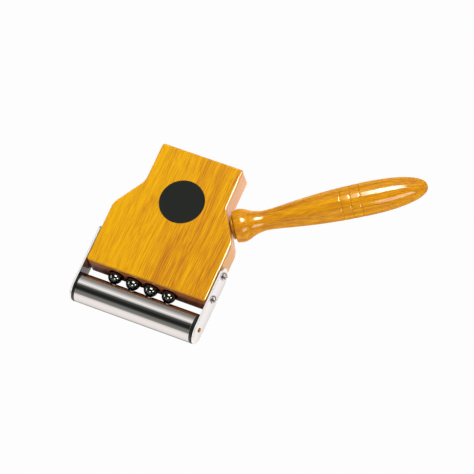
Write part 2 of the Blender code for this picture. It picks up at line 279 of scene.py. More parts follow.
def lacquered(nodes, grain, colour, coat):
    nodes.surface({
        "Base Color": colour,
        "Roughness": nodes.remap(grain.lines, *NOISE_RANGE, 0.42, 0.58),
        "Normal": nodes.bump(1 - grain.flecks, 0.25, FLECK_DEPTH),
        "Specular IOR Level": 0.0,
        "Coat Weight": coat,
        "Coat Roughness": 0.04,
        "Coat IOR": 1.5,
    })


print("stain over", len(TONES), "tones")

# %% [markdown]
# ## The block's wood
#
# The board is paler on its left. The dark heart of the tree starts at its middle, and fades
# to the right and to the back. Stain soaks in differently on each side: the long sides are
# even and pale, and the ends are brown, with open pores. A noise can't know the sides, so the
# height of a face's normal and the distance from the ends tell them apart. Beside the right
# arm the block's edge is painted dark brown: painted shade where the arm shades it.

# %% Tone of the board, and masks of its sides and ends
HEART_WIDTH = 32 * MM
HEART_EDGE = 1.5 * MM
HEART_SHADE = 0.13
HEART_AT_BACK = 0.3
LEFT_SHADE, RIGHT_SHADE = 0.09, -0.03
BACK_SHADE = 0.02
UPRIGHT = (0.45, 0.15)  # height of the normal where a side starts, and is full
FRONT_END = (3 * MM, 2.4 * MM)  # from the front: where end grain starts, and is full
BACK_END = (0.6 * MM, 0.3 * MM)
block_wood, nodes = start_finish("block_wood")
grain = wood_grain(nodes, math.pi / 2, shade=0.0, contrast=1.3)
across = nodes.axis(grain.place, "X")
along = nodes.axis(grain.place, "Y")
past_middle = -front.x - nodes.axis(grain.bent, "Y")
heart = nodes.remap(past_middle, 0, HEART_EDGE) * nodes.remap(past_middle, HEART_WIDTH, 0)
heart = heart * nodes.remap(along, block_high.y, block_low.y, HEART_AT_BACK, 1.0)
tone = grain.tone + nodes.remap(across, block_low.x, block_high.x, LEFT_SHADE, RIGHT_SHADE)
tone = tone + nodes.remap(along, block_low.y, block_high.y, 0.0, BACK_SHADE) - HEART_SHADE * heart
normal = nodes.node("NewGeometry", output="Normal")
upright = nodes.remap(nodes.absolute(nodes.axis(normal, "Z")), *UPRIGHT)
front_end = nodes.remap(along, *(block_low.y + depth for depth in FRONT_END))
back_end = nodes.remap(along, *(block_high.y - depth for depth in BACK_END))
ends = upright * (front_end + back_end)
print("heart", round(HEART_WIDTH / MM), "mm wide")

# %% Colours of the sides and ends, and painted shade beside the right arm
SIDE_WOOD = (0.83, 0.335, 0.018)
SIDE_SHARE = 0.75
END_WOOD = (0.59, 0.19, 0.062)
END_PORES = (0.38, 0.12, 0.040)
PORES = (0.64, 0.36)
ARM_SHADE_DEPTH = (0.7 * MM, 0.42 * MM)  # from the right side: where the painted shade starts, and is full
ARM_SHADE_END = (32 * MM, 31.3 * MM)  # from the front: where the painted shade stops, and is full
ARM_SHADE_STRENGTH = 0.4
# Dark brown of the painted shade, beside the right arm and in the handle's rings and slots.
SHADE_BROWN = (0.06, 0.022, 0.008)
END_DULLNESS = 0.35
RIM = (0.75, 0.93)  # how far a face turns away where the coat thins out
RIM_COAT = 0.45
pores = nodes.remap(0.6 * grain.lines + 0.4 * grain.bands, *PORES)
end_wood = nodes.mix(pores, END_WOOD, END_PORES)
# Painted shade: the rounded edge beside the right arm is coloured dark brown, where the arm shades it.
arm_shade = nodes.remap(across, *(block_high.x - depth for depth in ARM_SHADE_DEPTH))
arm_shade = arm_shade * nodes.remap(along, *(block_low.y + depth for depth in ARM_SHADE_END))
colour = nodes.mix(SIDE_SHARE * upright, stained(nodes, grain, tone), SIDE_WOOD)
colour = nodes.mix(ends, colour, end_wood)
colour = nodes.mix(arm_shade * ARM_SHADE_STRENGTH, colour, SHADE_BROWN)
coat = (1 - END_DULLNESS * ends) * nodes.remap(nodes.facing(), *RIM, 1.0, RIM_COAT)
lacquered(nodes, grain, colour, coat)
print("made", block_wood.name, "of", len(block_wood.node_tree.nodes), "nodes")

# %% [markdown]
# ## From a bmesh to a finished piece
#
# Each piece stands for one solid of the frame, takes its place on the same body and hides
# it. The mesh holds the place, and the object stays at the origin, because the grain
# follows the object's own coordinates. Broad faces beside a rounded edge can look dented, so
# a weighted normal keeps them flat.

# %% Objects and pieces
BODIES = {node: body for body, nodes in frame["record"]["behaviour"]["bodies"].items() for node in nodes}
SHARP_ANGLE = math.radians(32)
pieces = {}


def placed(name, shape, finishes=()):
    """The shape as the mesh of an object in the scene. The bmesh is used up."""
    mesh = bpy.data.meshes.new(name)
    shape.to_mesh(mesh)
    shape.free()
    for finish in finishes:
        mesh.materials.append(finish)
    item = bpy.data.objects.new(name, mesh)
    bpy.context.scene.collection.objects.link(item)
    return item


def finished(node, shape, finishes, broad_faces=False):
    """A smooth-shaded piece that replaces a solid and rides on its body."""
    item = placed(node + "_finished", shape, finishes)
    item.data.shade_smooth()
    item.data.set_sharp_from_angle(angle=SHARP_ANGLE)
    if broad_faces:
        item.modifiers.new("flat faces", "WEIGHTED_NORMAL").keep_sharp = True
    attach(item, BODIES[node])
    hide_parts(node)
    pieces[node] = item
    print(f"{item.name}: {len(item.data.polygons)} faces on body {BODIES[node]}")


# %% [markdown]
# ## Workshop tools
#
# Wood and metal are sawn, turned, drilled and rounded, and a few helpers do the same to a
# bmesh. A lathe is a spin of a profile, a saw is an extrusion of an outline, and a drill is
# a Boolean with a turned rod.

# %% Lathe, saw, file and drill
MERGE = 0.0005 * MM


def turned(profile, steps, place, closed=False, shape=None):
    """Spin (distance, radius) points about the X axis of place."""
    shape = shape or bmesh.new()
    rail = [shape.verts.new(place @ Vector((distance, radius, 0))) for distance, radius in profile]
    pairs = list(zip(rail, rail[1:]))
    if closed:
        pairs.append((rail[-1], rail[0]))
    edges = [shape.edges.new(pair) for pair in pairs]
    bmesh.ops.spin(shape, geom=rail + edges, cent=place.translation, axis=place.col[0].xyz,
                   angle=math.tau, steps=steps, use_merge=True)
    bmesh.ops.remove_doubles(shape, verts=shape.verts, dist=MERGE)
    bmesh.ops.recalc_face_normals(shape, faces=shape.faces)
    return shape


def raised(shape, height):
    """Extrude a flat outline along a vector, and give back the points of its new end."""
    grown = bmesh.ops.extrude_face_region(shape, geom=shape.faces[:])["geom"]
    verts = [part for part in grown if isinstance(part, bmesh.types.BMVert)]
    bmesh.ops.translate(shape, verts=verts, vec=height)
    bmesh.ops.recalc_face_normals(shape, faces=shape.faces)
    return verts


def round_rims(shape, axis, radius, segments):
    """Round the edges that lie across an axis: the rims of what was extruded along it."""
    rims = [edge for edge in shape.edges if abs(edge.verts[0].co[axis] - edge.verts[1].co[axis]) < MERGE]
    bmesh.ops.bevel(shape, geom=rims, offset=radius, offset_type="OFFSET", affect="EDGES",
                    segments=segments, profile=0.5, material=-1)


def cut(shape, tool):
    """The shape less the tool, by a Boolean between two short-lived objects."""
    items = [placed("cutting", part) for part in (shape, tool)]
    boolean = items[0].modifiers.new("cut", "BOOLEAN")
    boolean.operation = "DIFFERENCE"
    boolean.object = items[1]
    bpy.context.view_layer.update()
    result = bmesh.new()
    result.from_object(items[0], bpy.context.evaluated_depsgraph_get())
    for item in items:
        bpy.data.objects.remove(item)
    return result


def arc(start, end, steps):
    """Angles from start to end, in degrees, both ends included."""
    return [math.radians(start + (end - start) * step / steps) for step in range(steps + 1)]


def rod(start, end, diameter):
    return [(start, 0), (start, diameter / 2), (end, diameter / 2), (end, 0)]


print("points closer than", MERGE / MM, "mm are merged")

# %% [markdown]
# ## The block
#
# The real block was sawn from a board and its edges were rounded before the lacquer went
# on. The same order works here: eight corners make a face, a bevel of the corner points
# rounds the outline, an extrusion gives the board its thickness, and a bevel of the rims
# rounds its edges.

# %% Saw and round the board
SHOULDER_FRONT = 50 * MM
END_CORNER = 2.5 * MM
SHOULDER_CORNER = 12 * MM
CORNER_SEGMENTS = 8
EDGE_RADIUS = 1.4 * MM
EDGE_SEGMENTS = 10
half_front = extent["wood_block"].x / 2
half_back = half_front - SHOULDER_FALL
right_half = [
    (half_front, 0), (half_front, SHOULDER_FRONT),
    (half_back, SHOULDER_FRONT + SHOULDER_RUN), (half_back, extent["wood_block"].y),
]
outline = right_half + [(-x, y) for x, y in reversed(right_half)]
board = bmesh.new()
corners = [board.verts.new((front.x + x, front.y + y, block_low.z)) for x, y in outline]
board.faces.new(corners)
end_points = [corners[index] for index in (0, 3, 4, 7)]
shoulder_points = [corners[index] for index in (1, 2, 5, 6)]
shoulder_tangent = SHOULDER_CORNER * math.tan(shoulder_slope / 2)
for points, reach in ((end_points, END_CORNER), (shoulder_points, shoulder_tangent)):
    bmesh.ops.bevel(board, geom=points, offset=reach, offset_type="OFFSET", affect="VERTICES",
                    segments=CORNER_SEGMENTS, profile=0.5, material=-1)
raised(board, (0, 0, extent["wood_block"].z))
round_rims(board, 2, EDGE_RADIUS, EDGE_SEGMENTS)
print("board:", len(board.faces), "faces")

# %% [markdown]
# ## Bores and holes
#
# Four blind bores take the balls, and their mouths are broken with a small flare. Pilot
# holes take the arm screws, and one hole the dowel screw of the handle. All the drills are
# turned into one tool, so the board is cut once.

# %% Turn the drills
BORE_DIAMETER = 12 * MM
BORE_DEPTH = 15 * MM
BORE_FLARE = 0.3 * MM
PILOT_DIAMETER = 4.1 * MM
DOWEL_HOLE_DIAMETER = 6.6 * MM
HOLE_CLEARANCE = 0.3 * MM
HEAD_HEIGHT = 2.4 * MM
BORE_SIDES = 64
HOLE_SIDES = 32
BALLS = [f"steel_ball_{number}" for number in (1, 2, 3, 4)]
SCREWS = [f"{side}_{end}_screw" for side in ("left", "right") for end in ("front", "rear")]
bore_radius = BORE_DIAMETER / 2
flare_radius = bore_radius + BORE_FLARE
dowel_reach = extent["handle_dowel_screw"].x / math.cos(handle_turn) / 2


def screw_place(screw):
    """The middle of the head's underside, with +X pointing out of the block."""
    turn = Matrix.Rotation(0 if middle[screw].x > front.x else math.pi, 4, "Z")
    under_head = Matrix.Translation((extent[screw].x / 2 - HEAD_HEIGHT, 0, 0))
    return Matrix.Translation(middle[screw]) @ turn @ under_head


drills = bmesh.new()
bore_profile = [
    (-BORE_DEPTH, 0), (-BORE_DEPTH, flare_radius), (0, flare_radius),
    (BORE_FLARE, bore_radius), (BORE_DEPTH, bore_radius), (BORE_DEPTH, 0),
]
backwards = Matrix.Rotation(math.pi / 2, 4, "Z")
for ball in BALLS:
    mouth = Matrix.Translation((middle[ball].x, front.y, front.z))
    turned(bore_profile, BORE_SIDES, mouth @ backwards, shape=drills)
for screw in SCREWS:
    tip = HEAD_HEIGHT - extent[screw].x - HOLE_CLEARANCE
    turned(rod(tip, HEAD_HEIGHT, PILOT_DIAMETER), HOLE_SIDES, screw_place(screw), shape=drills)
turned(rod(-dowel_reach, dowel_reach, DOWEL_HOLE_DIAMETER), HOLE_SIDES, handle_place, shape=drills)
board = cut(board, drills)
print(len(BALLS), "bores and", len(SCREWS) + 1, "holes leave", len(board.faces), "faces")

# %% [markdown]
# ## Inside the bores
#
# The lacquer stops at the mouths of the bores. Inside, the wood is bare, with marks of the
# drill, and coloured near-black: painted shade for the dark inside of each bore. A second
# material on the faces that lie in a bore is enough. Caps and ink also vary in fine specks,
# so one function makes all three.

# %% Painted shade on the bare wood in the bores, and the finished block
# Near-black colours of the bores' walls: painted shade inside the bores.
BORE_SHADE = (0.080, 0.083, 0.074)
BORE_SHADE_DARK = (0.040, 0.0415, 0.037)
DRILL_MARK = (2 * MM, 0.5 * MM, 2 * MM)


def speckled(name, cell, colours, roughness, bump, coat=None):
    """A surface whose colour and roughness vary between two values, in cells of a size."""
    material, nodes = start_finish(name)
    place = nodes.node("TexCoord", output="Object")
    specks = nodes.noise(nodes.stretched(place, cell), detail=3)
    nodes.surface({
        "Base Color": nodes.mix(specks, *colours),
        "Roughness": nodes.remap(specks, *NOISE_RANGE, *roughness),
        "Normal": nodes.bump(specks, *bump),
        **(coat or {}),
    })
    return material


bore_shade = speckled("bore_wood_painted_shade", DRILL_MARK, (BORE_SHADE, BORE_SHADE_DARK), (0.7, 0.9), (0.4, 0.1 * MM))
for face in board.faces:
    spot = face.calc_center_median()
    off_axis = min(math.hypot(spot.x - middle[ball].x, spot.z - front.z) for ball in BALLS)
    depth = spot.y - front.y
    in_bore = MERGE < depth < BORE_DEPTH + HOLE_CLEARANCE and off_axis < flare_radius
    face.material_index = int(in_bore)
print("bare faces in the bores:", sum(face.material_index for face in board.faces))
finished("wood_block", board, [block_wood, bore_shade], broad_faces=True)

# %% [markdown]
# ## The handle
#
# The handle is turned on a lathe, so its shape is one profile and a spin. A smooth curve
# through a few measured diameters runs from the bulb over the thin neck to the club, and a
# full, rounded tip closes it. Three shallow rings are cut into the club.

# %% Radius along the handle
HANDLE_LENGTH = 152.2 * MM
SHAFT = [  # distance from the shoulder and diameter, in mm
    (4.9, 24.7), (8.5, 25.6), (12.5, 23.8), (17, 19.5), (22, 16.5), (27, 15.3),
    (36, 16.5), (49, 19.4), (67, 22.8), (85, 24.9), (102.5, 25.6),
]
TIP_FULLNESS = 2.3
RINGS = (86 * MM, 93.5 * MM, 101 * MM)
RING_WIDTH = 1.0 * MM
RING_DEPTH = 0.25 * MM
shaft_start = SHAFT[0][0] * MM
club_at = SHAFT[-1][0] * MM
club_radius = SHAFT[-1][1] * MM / 2


def slope(knot):
    """Growth of the diameter at a knot of SHAFT, from its neighbours."""
    before, after = SHAFT[max(knot - 1, 0)], SHAFT[min(knot + 1, len(SHAFT) - 1)]
    return (after[1] - before[1]) / (after[0] - before[0])


def shaft_radius(distance):
    """A cubic through the knots of SHAFT, then the tip."""
    if distance >= club_at:
        reach = min(1, (distance - club_at) / (HANDLE_LENGTH - club_at))
        return club_radius * (1 - reach**TIP_FULLNESS) ** (1 / TIP_FULLNESS)
    index = max(knot for knot in range(len(SHAFT) - 1) if SHAFT[knot][0] * MM <= distance + MERGE)
    (left, first), (right, last) = SHAFT[index], SHAFT[index + 1]
    span = right - left
    t = (distance / MM - left) / span
    diameter = ((2 * t**3 - 3 * t**2 + 1) * first + (t**3 - 2 * t**2 + t) * span * slope(index)
                + (3 * t**2 - 2 * t**3) * last + (t**3 - t**2) * span * slope(index + 1))
    return diameter * MM / 2


def from_ring(distance):
    return min(abs(distance - ring) for ring in RINGS)


def ring_cut(distance):
    """How deep the rings are cut at a distance: a round-bottomed groove each."""
    share = from_ring(distance) / (RING_WIDTH / 2)
    return RING_DEPTH * (1 - share**2) if share < 1 else 0


print("handle through", len(SHAFT), "diameters, with", len(RINGS), "rings")

# %% [markdown]
# Where the handle meets the shoulder it has a collar: a small bead between two narrow slots.
# Both slots are cut deep, so that they stay dark from any side. The profile starts inside the
# dowel's hole, goes round the collar and then follows the shaft, in finer steps at the rings.

# %% Profile of the handle
SEAT_GAP = 0.3 * MM
COLLAR_RADIUS = 9.4 * MM
SLOT_DEPTH = 4 * MM
COLLAR_END = 3.2 * MM
BEAD_START = 0.8 * MM
BEAD_END = 2.9 * MM
BEAD_HEIGHT = 1.2 * MM
BULB_EDGE = 1 * MM
TIP_FROM = 120 * MM
STEP = 0.9 * MM
RING_STEP = 0.15 * MM
dowel_hole = DOWEL_HOLE_DIAMETER / 2
slot_floor = COLLAR_RADIUS - SLOT_DEPTH
handle_profile = [
    (dowel_reach + HOLE_CLEARANCE, 0), (dowel_reach + HOLE_CLEARANCE, dowel_hole),
    (SEAT_GAP, dowel_hole), (SEAT_GAP, slot_floor), (BEAD_START, slot_floor),
]
bead_half = (BEAD_END - BEAD_START) / 2
for angle in arc(180, 0, 10):
    handle_profile.append((BEAD_START + bead_half * (1 + math.cos(angle)),
                           COLLAR_RADIUS - BEAD_HEIGHT + BEAD_HEIGHT * math.sin(angle)))
handle_profile += [(BEAD_END, slot_floor), (COLLAR_END, slot_floor)]
for angle in arc(-90, 0, 5):
    handle_profile.append((shaft_start + (shaft_start - COLLAR_END) * math.sin(angle),
                           shaft_radius(shaft_start) - BULB_EDGE + BULB_EDGE * math.cos(angle)))
station = shaft_start
while station < TIP_FROM:
    station += RING_STEP if from_ring(station) < RING_WIDTH else STEP
    handle_profile.append((station, shaft_radius(station) - ring_cut(station)))
for angle in arc(0, 90, 40)[1:]:
    at = station + (HANDLE_LENGTH - station) * math.sin(angle)
    handle_profile.append((at, shaft_radius(at)))
print("handle profile of", len(handle_profile), "points")

# %% [markdown]
# The handle has the block's stain and lacquer, on quieter, coarser grain along its length.
# In the rings and the collar's slots the wood is painted darker, as painted shade in the
# grooves, and the lacquer is dull: without that, each groove would glint like a wire. The
# coat thins towards the outline, where it would mirror too much of the white studio.

# %% The handle's wood, and the finished handle
GRAIN_SHIFT = (0, 7.5 * MM, 0)
CLUB_FACING = (0.25, 0.60)
CLUB_COAT = (0.7, 0.3)
SHADED = (0.7, 0.45)  # in widths of a groove: where the painted shade starts, and is full
DULL = (0.9, 0.65)  # likewise for dull lacquer
DULLNESS = 0.85
RING_SHADE = 0.12
SLOT_SHADES = [(0.4 * MM, 0.6 * MM, 0.95), (3.05 * MM, 0.25 * MM, 0.8)]  # place, width, darkness of the painted shade
LARGE_SIDES = 96
handle_wood, nodes = start_finish("handle_wood")
grain = wood_grain(nodes, handle_turn, shade=-0.045, contrast=0.6, coarse=1.8, shift=GRAIN_SHIFT)
colour = stained(nodes, grain, grain.tone)
coat = nodes.remap(nodes.facing(), *CLUB_FACING, *CLUB_COAT)
seat_along = seat.x * math.cos(handle_turn) + seat.y * math.sin(handle_turn)
from_seat = nodes.axis(grain.fibres, "X") - seat_along
# Painted shade: each ring and slot is coloured darker where shade falls in the groove, and its lacquer is
# dulled.
for distance, width, darkness in [(ring, RING_WIDTH, RING_SHADE) for ring in RINGS] + SLOT_SHADES:
    away = nodes.absolute(from_seat - distance)
    groove_shade = nodes.remap(away, *(share * width for share in SHADED))
    colour = nodes.mix(groove_shade * darkness, colour, SHADE_BROWN)
    dull = nodes.remap(away, *(share * width for share in DULL))
    coat = coat * (1 - DULLNESS * dull)
lacquered(nodes, grain, colour, coat)
finished("turned_handle", turned(handle_profile, LARGE_SIDES, handle_place), [handle_wood])

# %% [markdown]
# ## Bright metal
#
# Four metals show: the chrome of the roller, the polished steel of arms, screws and washers,
# the darker steel of the balls, and a little brass on the axle. They differ in colour and in
# how sharp their reflections are. Faint scratches, drawn out along the way each piece was
# polished, keep the reflections from looking like a computer's.

# %% The metal finishes
ROUND_SCRATCH = (0.35 * MM, 20 * MM, 20 * MM)
LONG_SCRATCH = (20 * MM, 30 * MM, 0.3 * MM)
BALL_SCRATCH = (3 * MM,) * 3
BRASS_SCRATCH = (0.5 * MM,) * 3
CLOUD = (14 * MM,) * 3
CLOUD_SHADE = 0.93


def bright_metal(name, colour, roughness, scratch, scratch_depth, rim=1.0):
    """A polished metal with scratches in cells of the given sizes, darker at its rim by a share."""
    material, nodes = start_finish(name)
    place = nodes.node("TexCoord", output="Object")
    scratches = nodes.noise(nodes.stretched(place, scratch), detail=3, roughness=0.7)
    clouds = nodes.noise(nodes.stretched(place, CLOUD), detail=3)
    wear = 0.6 * scratches + 0.4 * clouds
    nodes.surface({
        "Base Color": nodes.mix(clouds, [value * CLOUD_SHADE for value in colour], colour),
        "Metallic": 1.0,
        "Specular Tint": (rim, rim, rim, 1),
        "Roughness": nodes.remap(wear, *NOISE_RANGE, roughness * 0.8, roughness * 1.2),
        "Normal": nodes.bump(scratches, 0.1, scratch_depth),
    })
    return material


chrome = bright_metal("roller_chrome", (0.725, 0.70, 0.69), 0.06, ROUND_SCRATCH, 0.002 * MM, rim=0.5)
arm_steel = bright_metal("arm_steel", (0.83, 0.805, 0.795), 0.12, LONG_SCRATCH, 0.002 * MM)
ball_steel = bright_metal("ball_steel", (0.20, 0.213, 0.20), 0.05, BALL_SCRATCH, 0.001 * MM, rim=0.25)
brass = bright_metal("axle_brass", (0.72, 0.40, 0.14), 0.28, BRASS_SCRATCH, 0.01 * MM)
print("metals:", [metal.name for metal in (chrome, arm_steel, ball_steel, brass)])

# %% [markdown]
# ## The arms
#
# Each arm is a flat strip with rounded ends. A circle whose halves are pulled apart gives
# that outline, with the front half a little longer and the rear half blunter. It is
# extruded to the strip's thickness, its rims are broken, and three holes are drilled.

# %% Cut the two arms
ARM_WIDTH = 20.5 * MM
ARM_FRONT_REACH = 11.2 * MM
ARM_REAR_REACH = 6.6 * MM
ARM_REAR_START = 26.1 * MM
ARM_EDGE = 0.2 * MM
ARM_EDGE_SEGMENTS = 3
AXLE_HOLE_DIAMETER = 3.6 * MM
DRILL_OVERRUN = 1 * MM
half_width = ARM_WIDTH / 2
facing_x = Matrix.Rotation(math.pi / 2, 4, "Y")
for side in ("left", "right"):
    low, high = boxes[side + "_arm"]
    strip = bmesh.new()
    bmesh.ops.create_circle(strip, cap_ends=True, segments=LARGE_SIDES, radius=half_width, matrix=facing_x)
    for vert in strip.verts:
        rear = vert.co.y > 0
        reach = ARM_REAR_REACH if rear else ARM_FRONT_REACH
        start = front.y + ARM_REAR_START if rear else roller_axis.y
        vert.co = (low.x, start + vert.co.y * reach / half_width, front.z + vert.co.z)
    raised(strip, (high.x - low.x, 0, 0))
    round_rims(strip, 0, ARM_EDGE, ARM_EDGE_SEGMENTS)
    drills = bmesh.new()
    holes = [(middle[f"{side}_{end}_screw"].y, PILOT_DIAMETER) for end in ("front", "rear")]
    holes.append((roller_axis.y, AXLE_HOLE_DIAMETER))
    for hole_y, diameter in holes:
        through = rod(low.x - DRILL_OVERRUN, high.x + DRILL_OVERRUN, diameter)
        turned(through, HOLE_SIDES, Matrix.Translation((0, hole_y, front.z)), shape=drills)
    finished(side + "_arm", cut(strip, drills), [arm_steel], broad_faces=True)

# %% [markdown]
# ## The screws
#
# Four round-headed wood screws hold the arms. A head is turned from a quarter of an
# ellipse, and the cross recess is a tapered plus sign that is cut out of it. The shanks,
# hidden in the wood, stay plain.

# %% Turn the screws and cut their recesses
HEAD_RIM = 0.6 * MM
RECESS_SPAN = 3.8 * MM
RECESS_WIDTH = 1 * MM
RECESS_DEPTH = 1.4 * MM
RECESS_TAPER = 0.55
SHANK_RADIUS = 1.75 * MM
POINT_LENGTH = 4 * MM
SMALL_SIDES = 48


def cross_cutter(place):
    """A plus sign that widens along +X of place, from the recess's floor to above the head."""
    shape = bmesh.new()
    span, width = RECESS_SPAN / 2, RECESS_WIDTH / 2
    quarter = [Vector((0, span, width)), Vector((0, width, width)), Vector((0, width, span))]
    turns = [Matrix.Rotation(math.pi / 2 * turn, 3, "X") for turn in range(4)]
    floor = Vector((HEAD_HEIGHT - RECESS_DEPTH, 0, 0))
    cross = [floor + turn @ point * RECESS_TAPER for turn in turns for point in quarter]
    shape.faces.new([shape.verts.new(point) for point in cross])
    top = raised(shape, (2 * RECESS_DEPTH, 0, 0))
    widening = 2 / RECESS_TAPER - 1
    bmesh.ops.scale(shape, verts=top, vec=(1, widening, widening))
    bmesh.ops.transform(shape, matrix=place, verts=shape.verts)
    bmesh.ops.recalc_face_normals(shape, faces=shape.faces)
    return shape


for screw in SCREWS:
    head = extent[screw].z / 2
    tip = HEAD_HEIGHT - extent[screw].x
    screw_profile = [(tip, 0), (tip + POINT_LENGTH, SHANK_RADIUS), (0, SHANK_RADIUS), (0, head)]
    for angle in arc(0, 90, 12):
        height = HEAD_RIM + (HEAD_HEIGHT - HEAD_RIM) * math.sin(angle)
        screw_profile.append((height, head * math.cos(angle)))
    place = screw_place(screw)
    finished(screw, cut(turned(screw_profile, SMALL_SIDES, place), cross_cutter(place)), [arm_steel])

# %% [markdown]
# ## The roller
#
# The roller is a thin chrome tube with a black plastic cap in each end, and it runs on a
# brass axle whose ends are peened over the arms. All of these are turned shapes on one axis,
# so each is a short profile with broken corners and a spin.

# %% Turn the tube
TUBE_WALL = 1 * MM
TUBE_SIDES = 160
CORNER = 0.15 * MM
at_axis = Matrix.Translation(roller_axis)
tube_end = extent["roller_tube"].x / 2
tube_outer = extent["roller_tube"].z / 2
tube_bore = tube_outer - TUBE_WALL
tube_profile = [
    (tube_end - CORNER, tube_outer), (CORNER - tube_end, tube_outer),
    (-tube_end, tube_outer - CORNER), (-tube_end, tube_bore),
    (tube_end, tube_bore), (tube_end, tube_outer - CORNER),
]
finished("roller_tube", turned(tube_profile, TUBE_SIDES, at_axis, closed=True), [chrome])

# %% Turn the caps and washers
CAP_BLACK = (0.010, 0.010, 0.010)
CAP_GREY = (0.018, 0.018, 0.018)
CAP_GRAIN = (0.4 * MM,) * 3
CAP_PLUG_DEPTH = 8 * MM
CAP_EDGE = 0.35 * MM
CAP_RIM = 1.5 * MM
CAP_SIDES = 128
FIT = 0.3 * MM
AXLE_RADIUS = 1.5 * MM
black_plastic = speckled("cap_plastic", CAP_GRAIN, (CAP_BLACK, CAP_GREY), (0.32, 0.48), (0.15, 0.02 * MM))
axle_hole = AXLE_RADIUS + FIT
for side, turn in (("left", math.pi), ("right", 0)):
    place = at_axis @ Matrix.Rotation(turn, 4, "Z")
    cap, washer = side + "_end_cap", side + "_washer"
    cap_outside = max(abs(corner.x - roller_axis.x) for corner in boxes[cap])
    washer_outside = max(abs(corner.x - roller_axis.x) for corner in boxes[washer])
    washer_inside = washer_outside - extent[washer].x
    cap_radius = extent[cap].z / 2
    washer_radius = extent[washer].z / 2
    cap_inside = cap_outside - CAP_RIM
    cap_profile = [
        (washer_inside - FIT, axle_hole), (washer_inside - FIT, washer_radius + FIT),
        (cap_outside, washer_radius + FIT),
    ]
    for angle in arc(90, 0, 6):
        cap_profile.append((cap_outside - CAP_EDGE + CAP_EDGE * math.sin(angle),
                            cap_radius - CAP_EDGE + CAP_EDGE * math.cos(angle)))
    cap_profile += [
        (cap_inside, cap_radius), (cap_inside, tube_bore - FIT),
        (cap_inside - CAP_PLUG_DEPTH, tube_bore - FIT), (cap_inside - CAP_PLUG_DEPTH, axle_hole),
    ]
    finished(cap, turned(cap_profile, CAP_SIDES, place, closed=True), [black_plastic])
    washer_profile = [
        (washer_inside, axle_hole), (washer_inside, washer_radius - CORNER),
        (washer_inside + CORNER, washer_radius), (washer_outside - CORNER, washer_radius),
        (washer_outside, washer_radius - CORNER), (washer_outside, axle_hole),
    ]
    finished(washer, turned(washer_profile, SMALL_SIDES, place, closed=True), [arm_steel])

# %% Turn the axle
AXLE_HEAD_HEIGHT = 0.8 * MM
axle_end = extent["roller_axle"].x / 2
axle_head = extent["roller_axle"].z / 2
under_dome = axle_end - AXLE_HEAD_HEIGHT
half_axle = [(under_dome, AXLE_RADIUS)]
for angle in arc(0, 90, 8):
    half_axle.append((under_dome + AXLE_HEAD_HEIGHT * math.sin(angle), axle_head * math.cos(angle)))
axle_profile = [(-distance, radius) for distance, radius in reversed(half_axle)] + half_axle
finished("roller_axle", turned(axle_profile, SMALL_SIDES, at_axis), [brass])

# %% [markdown]
# ## The balls
#
# The balls are plain ball-bearing balls, so a sphere is the real shape here. It is made
# fine enough that its outline stays round in a close view.

# %% Place the balls
BALL_SEGMENTS = 64
BALL_RINGS = 32
for ball in BALLS:
    sphere = bmesh.new()
    bmesh.ops.create_uvsphere(sphere, u_segments=BALL_SEGMENTS, v_segments=BALL_RINGS,
                              radius=extent[ball].z / 2, matrix=Matrix.Translation(middle[ball]))
    finished(ball, sphere, [ball_steel])

# %% [markdown]
# ## The printed disc and the hidden screw
#
# A plain black disc is printed on the block's top face. It is a film of ink a few
# hundredths of a millimetre thick, so it is a thin disc of its own and not a cut in the
# wood, and the lacquer goes over it. The dowel screw is inside the wood and keeps its solid.

# %% Print the disc
DISC_DIAMETER = 35.6 * MM
DISC_FROM_FRONT = 68.1 * MM
DISC_SIDES = 128
INK_THICKNESS = 0.05 * MM
INK_BLACK = (0.012, 0.013, 0.012)
INK_GREY = (0.020, 0.022, 0.020)
INK_SPECK = (0.5 * MM,) * 3
INK_COAT = {"Specular IOR Level": 0.0, "Coat Weight": 1.0, "Coat Roughness": 0.05}
ink = speckled("disc_ink", INK_SPECK, (INK_BLACK, INK_GREY), (0.40, 0.52), (0.1, 0.01 * MM), INK_COAT)
disc_shape = bmesh.new()
disc_place = Matrix.Translation((front.x, front.y + DISC_FROM_FRONT, block_high.z))
bmesh.ops.create_circle(disc_shape, cap_ends=True, segments=DISC_SIDES, radius=DISC_DIAMETER / 2,
                        matrix=disc_place)
raised(disc_shape, (0, 0, INK_THICKNESS))
disc = placed("printed_disc", disc_shape, [ink])
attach(disc, "block")
dowel = frame["nodes"]["handle_dowel_screw"]
dowel.data.materials.clear()
dowel.data.materials.append(arm_steel)
print("disc of", round(DISC_DIAMETER / MM, 1), "mm; the dowel screw is", dowel.data.materials[0].name)

# %% [markdown]
# ## Camera
#
# The photograph was taken from far away with a long lens: parallel edges of the block stay
# nearly parallel. The camera looks down steeply from the front right, and is rolled so that
# the handle points to the upper right corner.

# %% Set up the camera
AIM = Vector((-9.2, -0.4, 12.8)) * MM
CAMERA_DISTANCE = 2417.4 * MM
AZIMUTH = math.radians(42.502)
ELEVATION = math.radians(65.273)
ROLL = math.radians(-20.433)
LENS = 243.04  # in millimetres, as is the sensor
SENSOR_WIDTH = 36
level = math.cos(ELEVATION)
back = Vector((math.sin(AZIMUTH) * level, -math.cos(AZIMUTH) * level, math.sin(ELEVATION)))
lens = bpy.data.cameras.new("camera")
lens.lens = LENS
lens.sensor_width = SENSOR_WIDTH
camera = bpy.data.objects.new("camera", lens)
camera.location = AIM + back * CAMERA_DISTANCE
camera.rotation_mode = "QUATERNION"
camera.rotation_quaternion = (-back).to_track_quat("-Z", "Y") @ Quaternion((0, 0, 1), ROLL)
bpy.context.scene.collection.objects.link(camera)
bpy.context.scene.camera = camera
print("camera looks from", [round(value, 3) for value in back])

# %% [markdown]
# ## Floor
#
# The object lies on a plain white floor. The camera sees it as an even white, and its light
# reaches the undersides. In mirrors it is a glow, brighter behind the block and in front of
# the roller. Only between the arms, where the block shades it, do mirrors see it as it is. To
# the right of the block the glow drops, or the handle's lower side would look washed out.

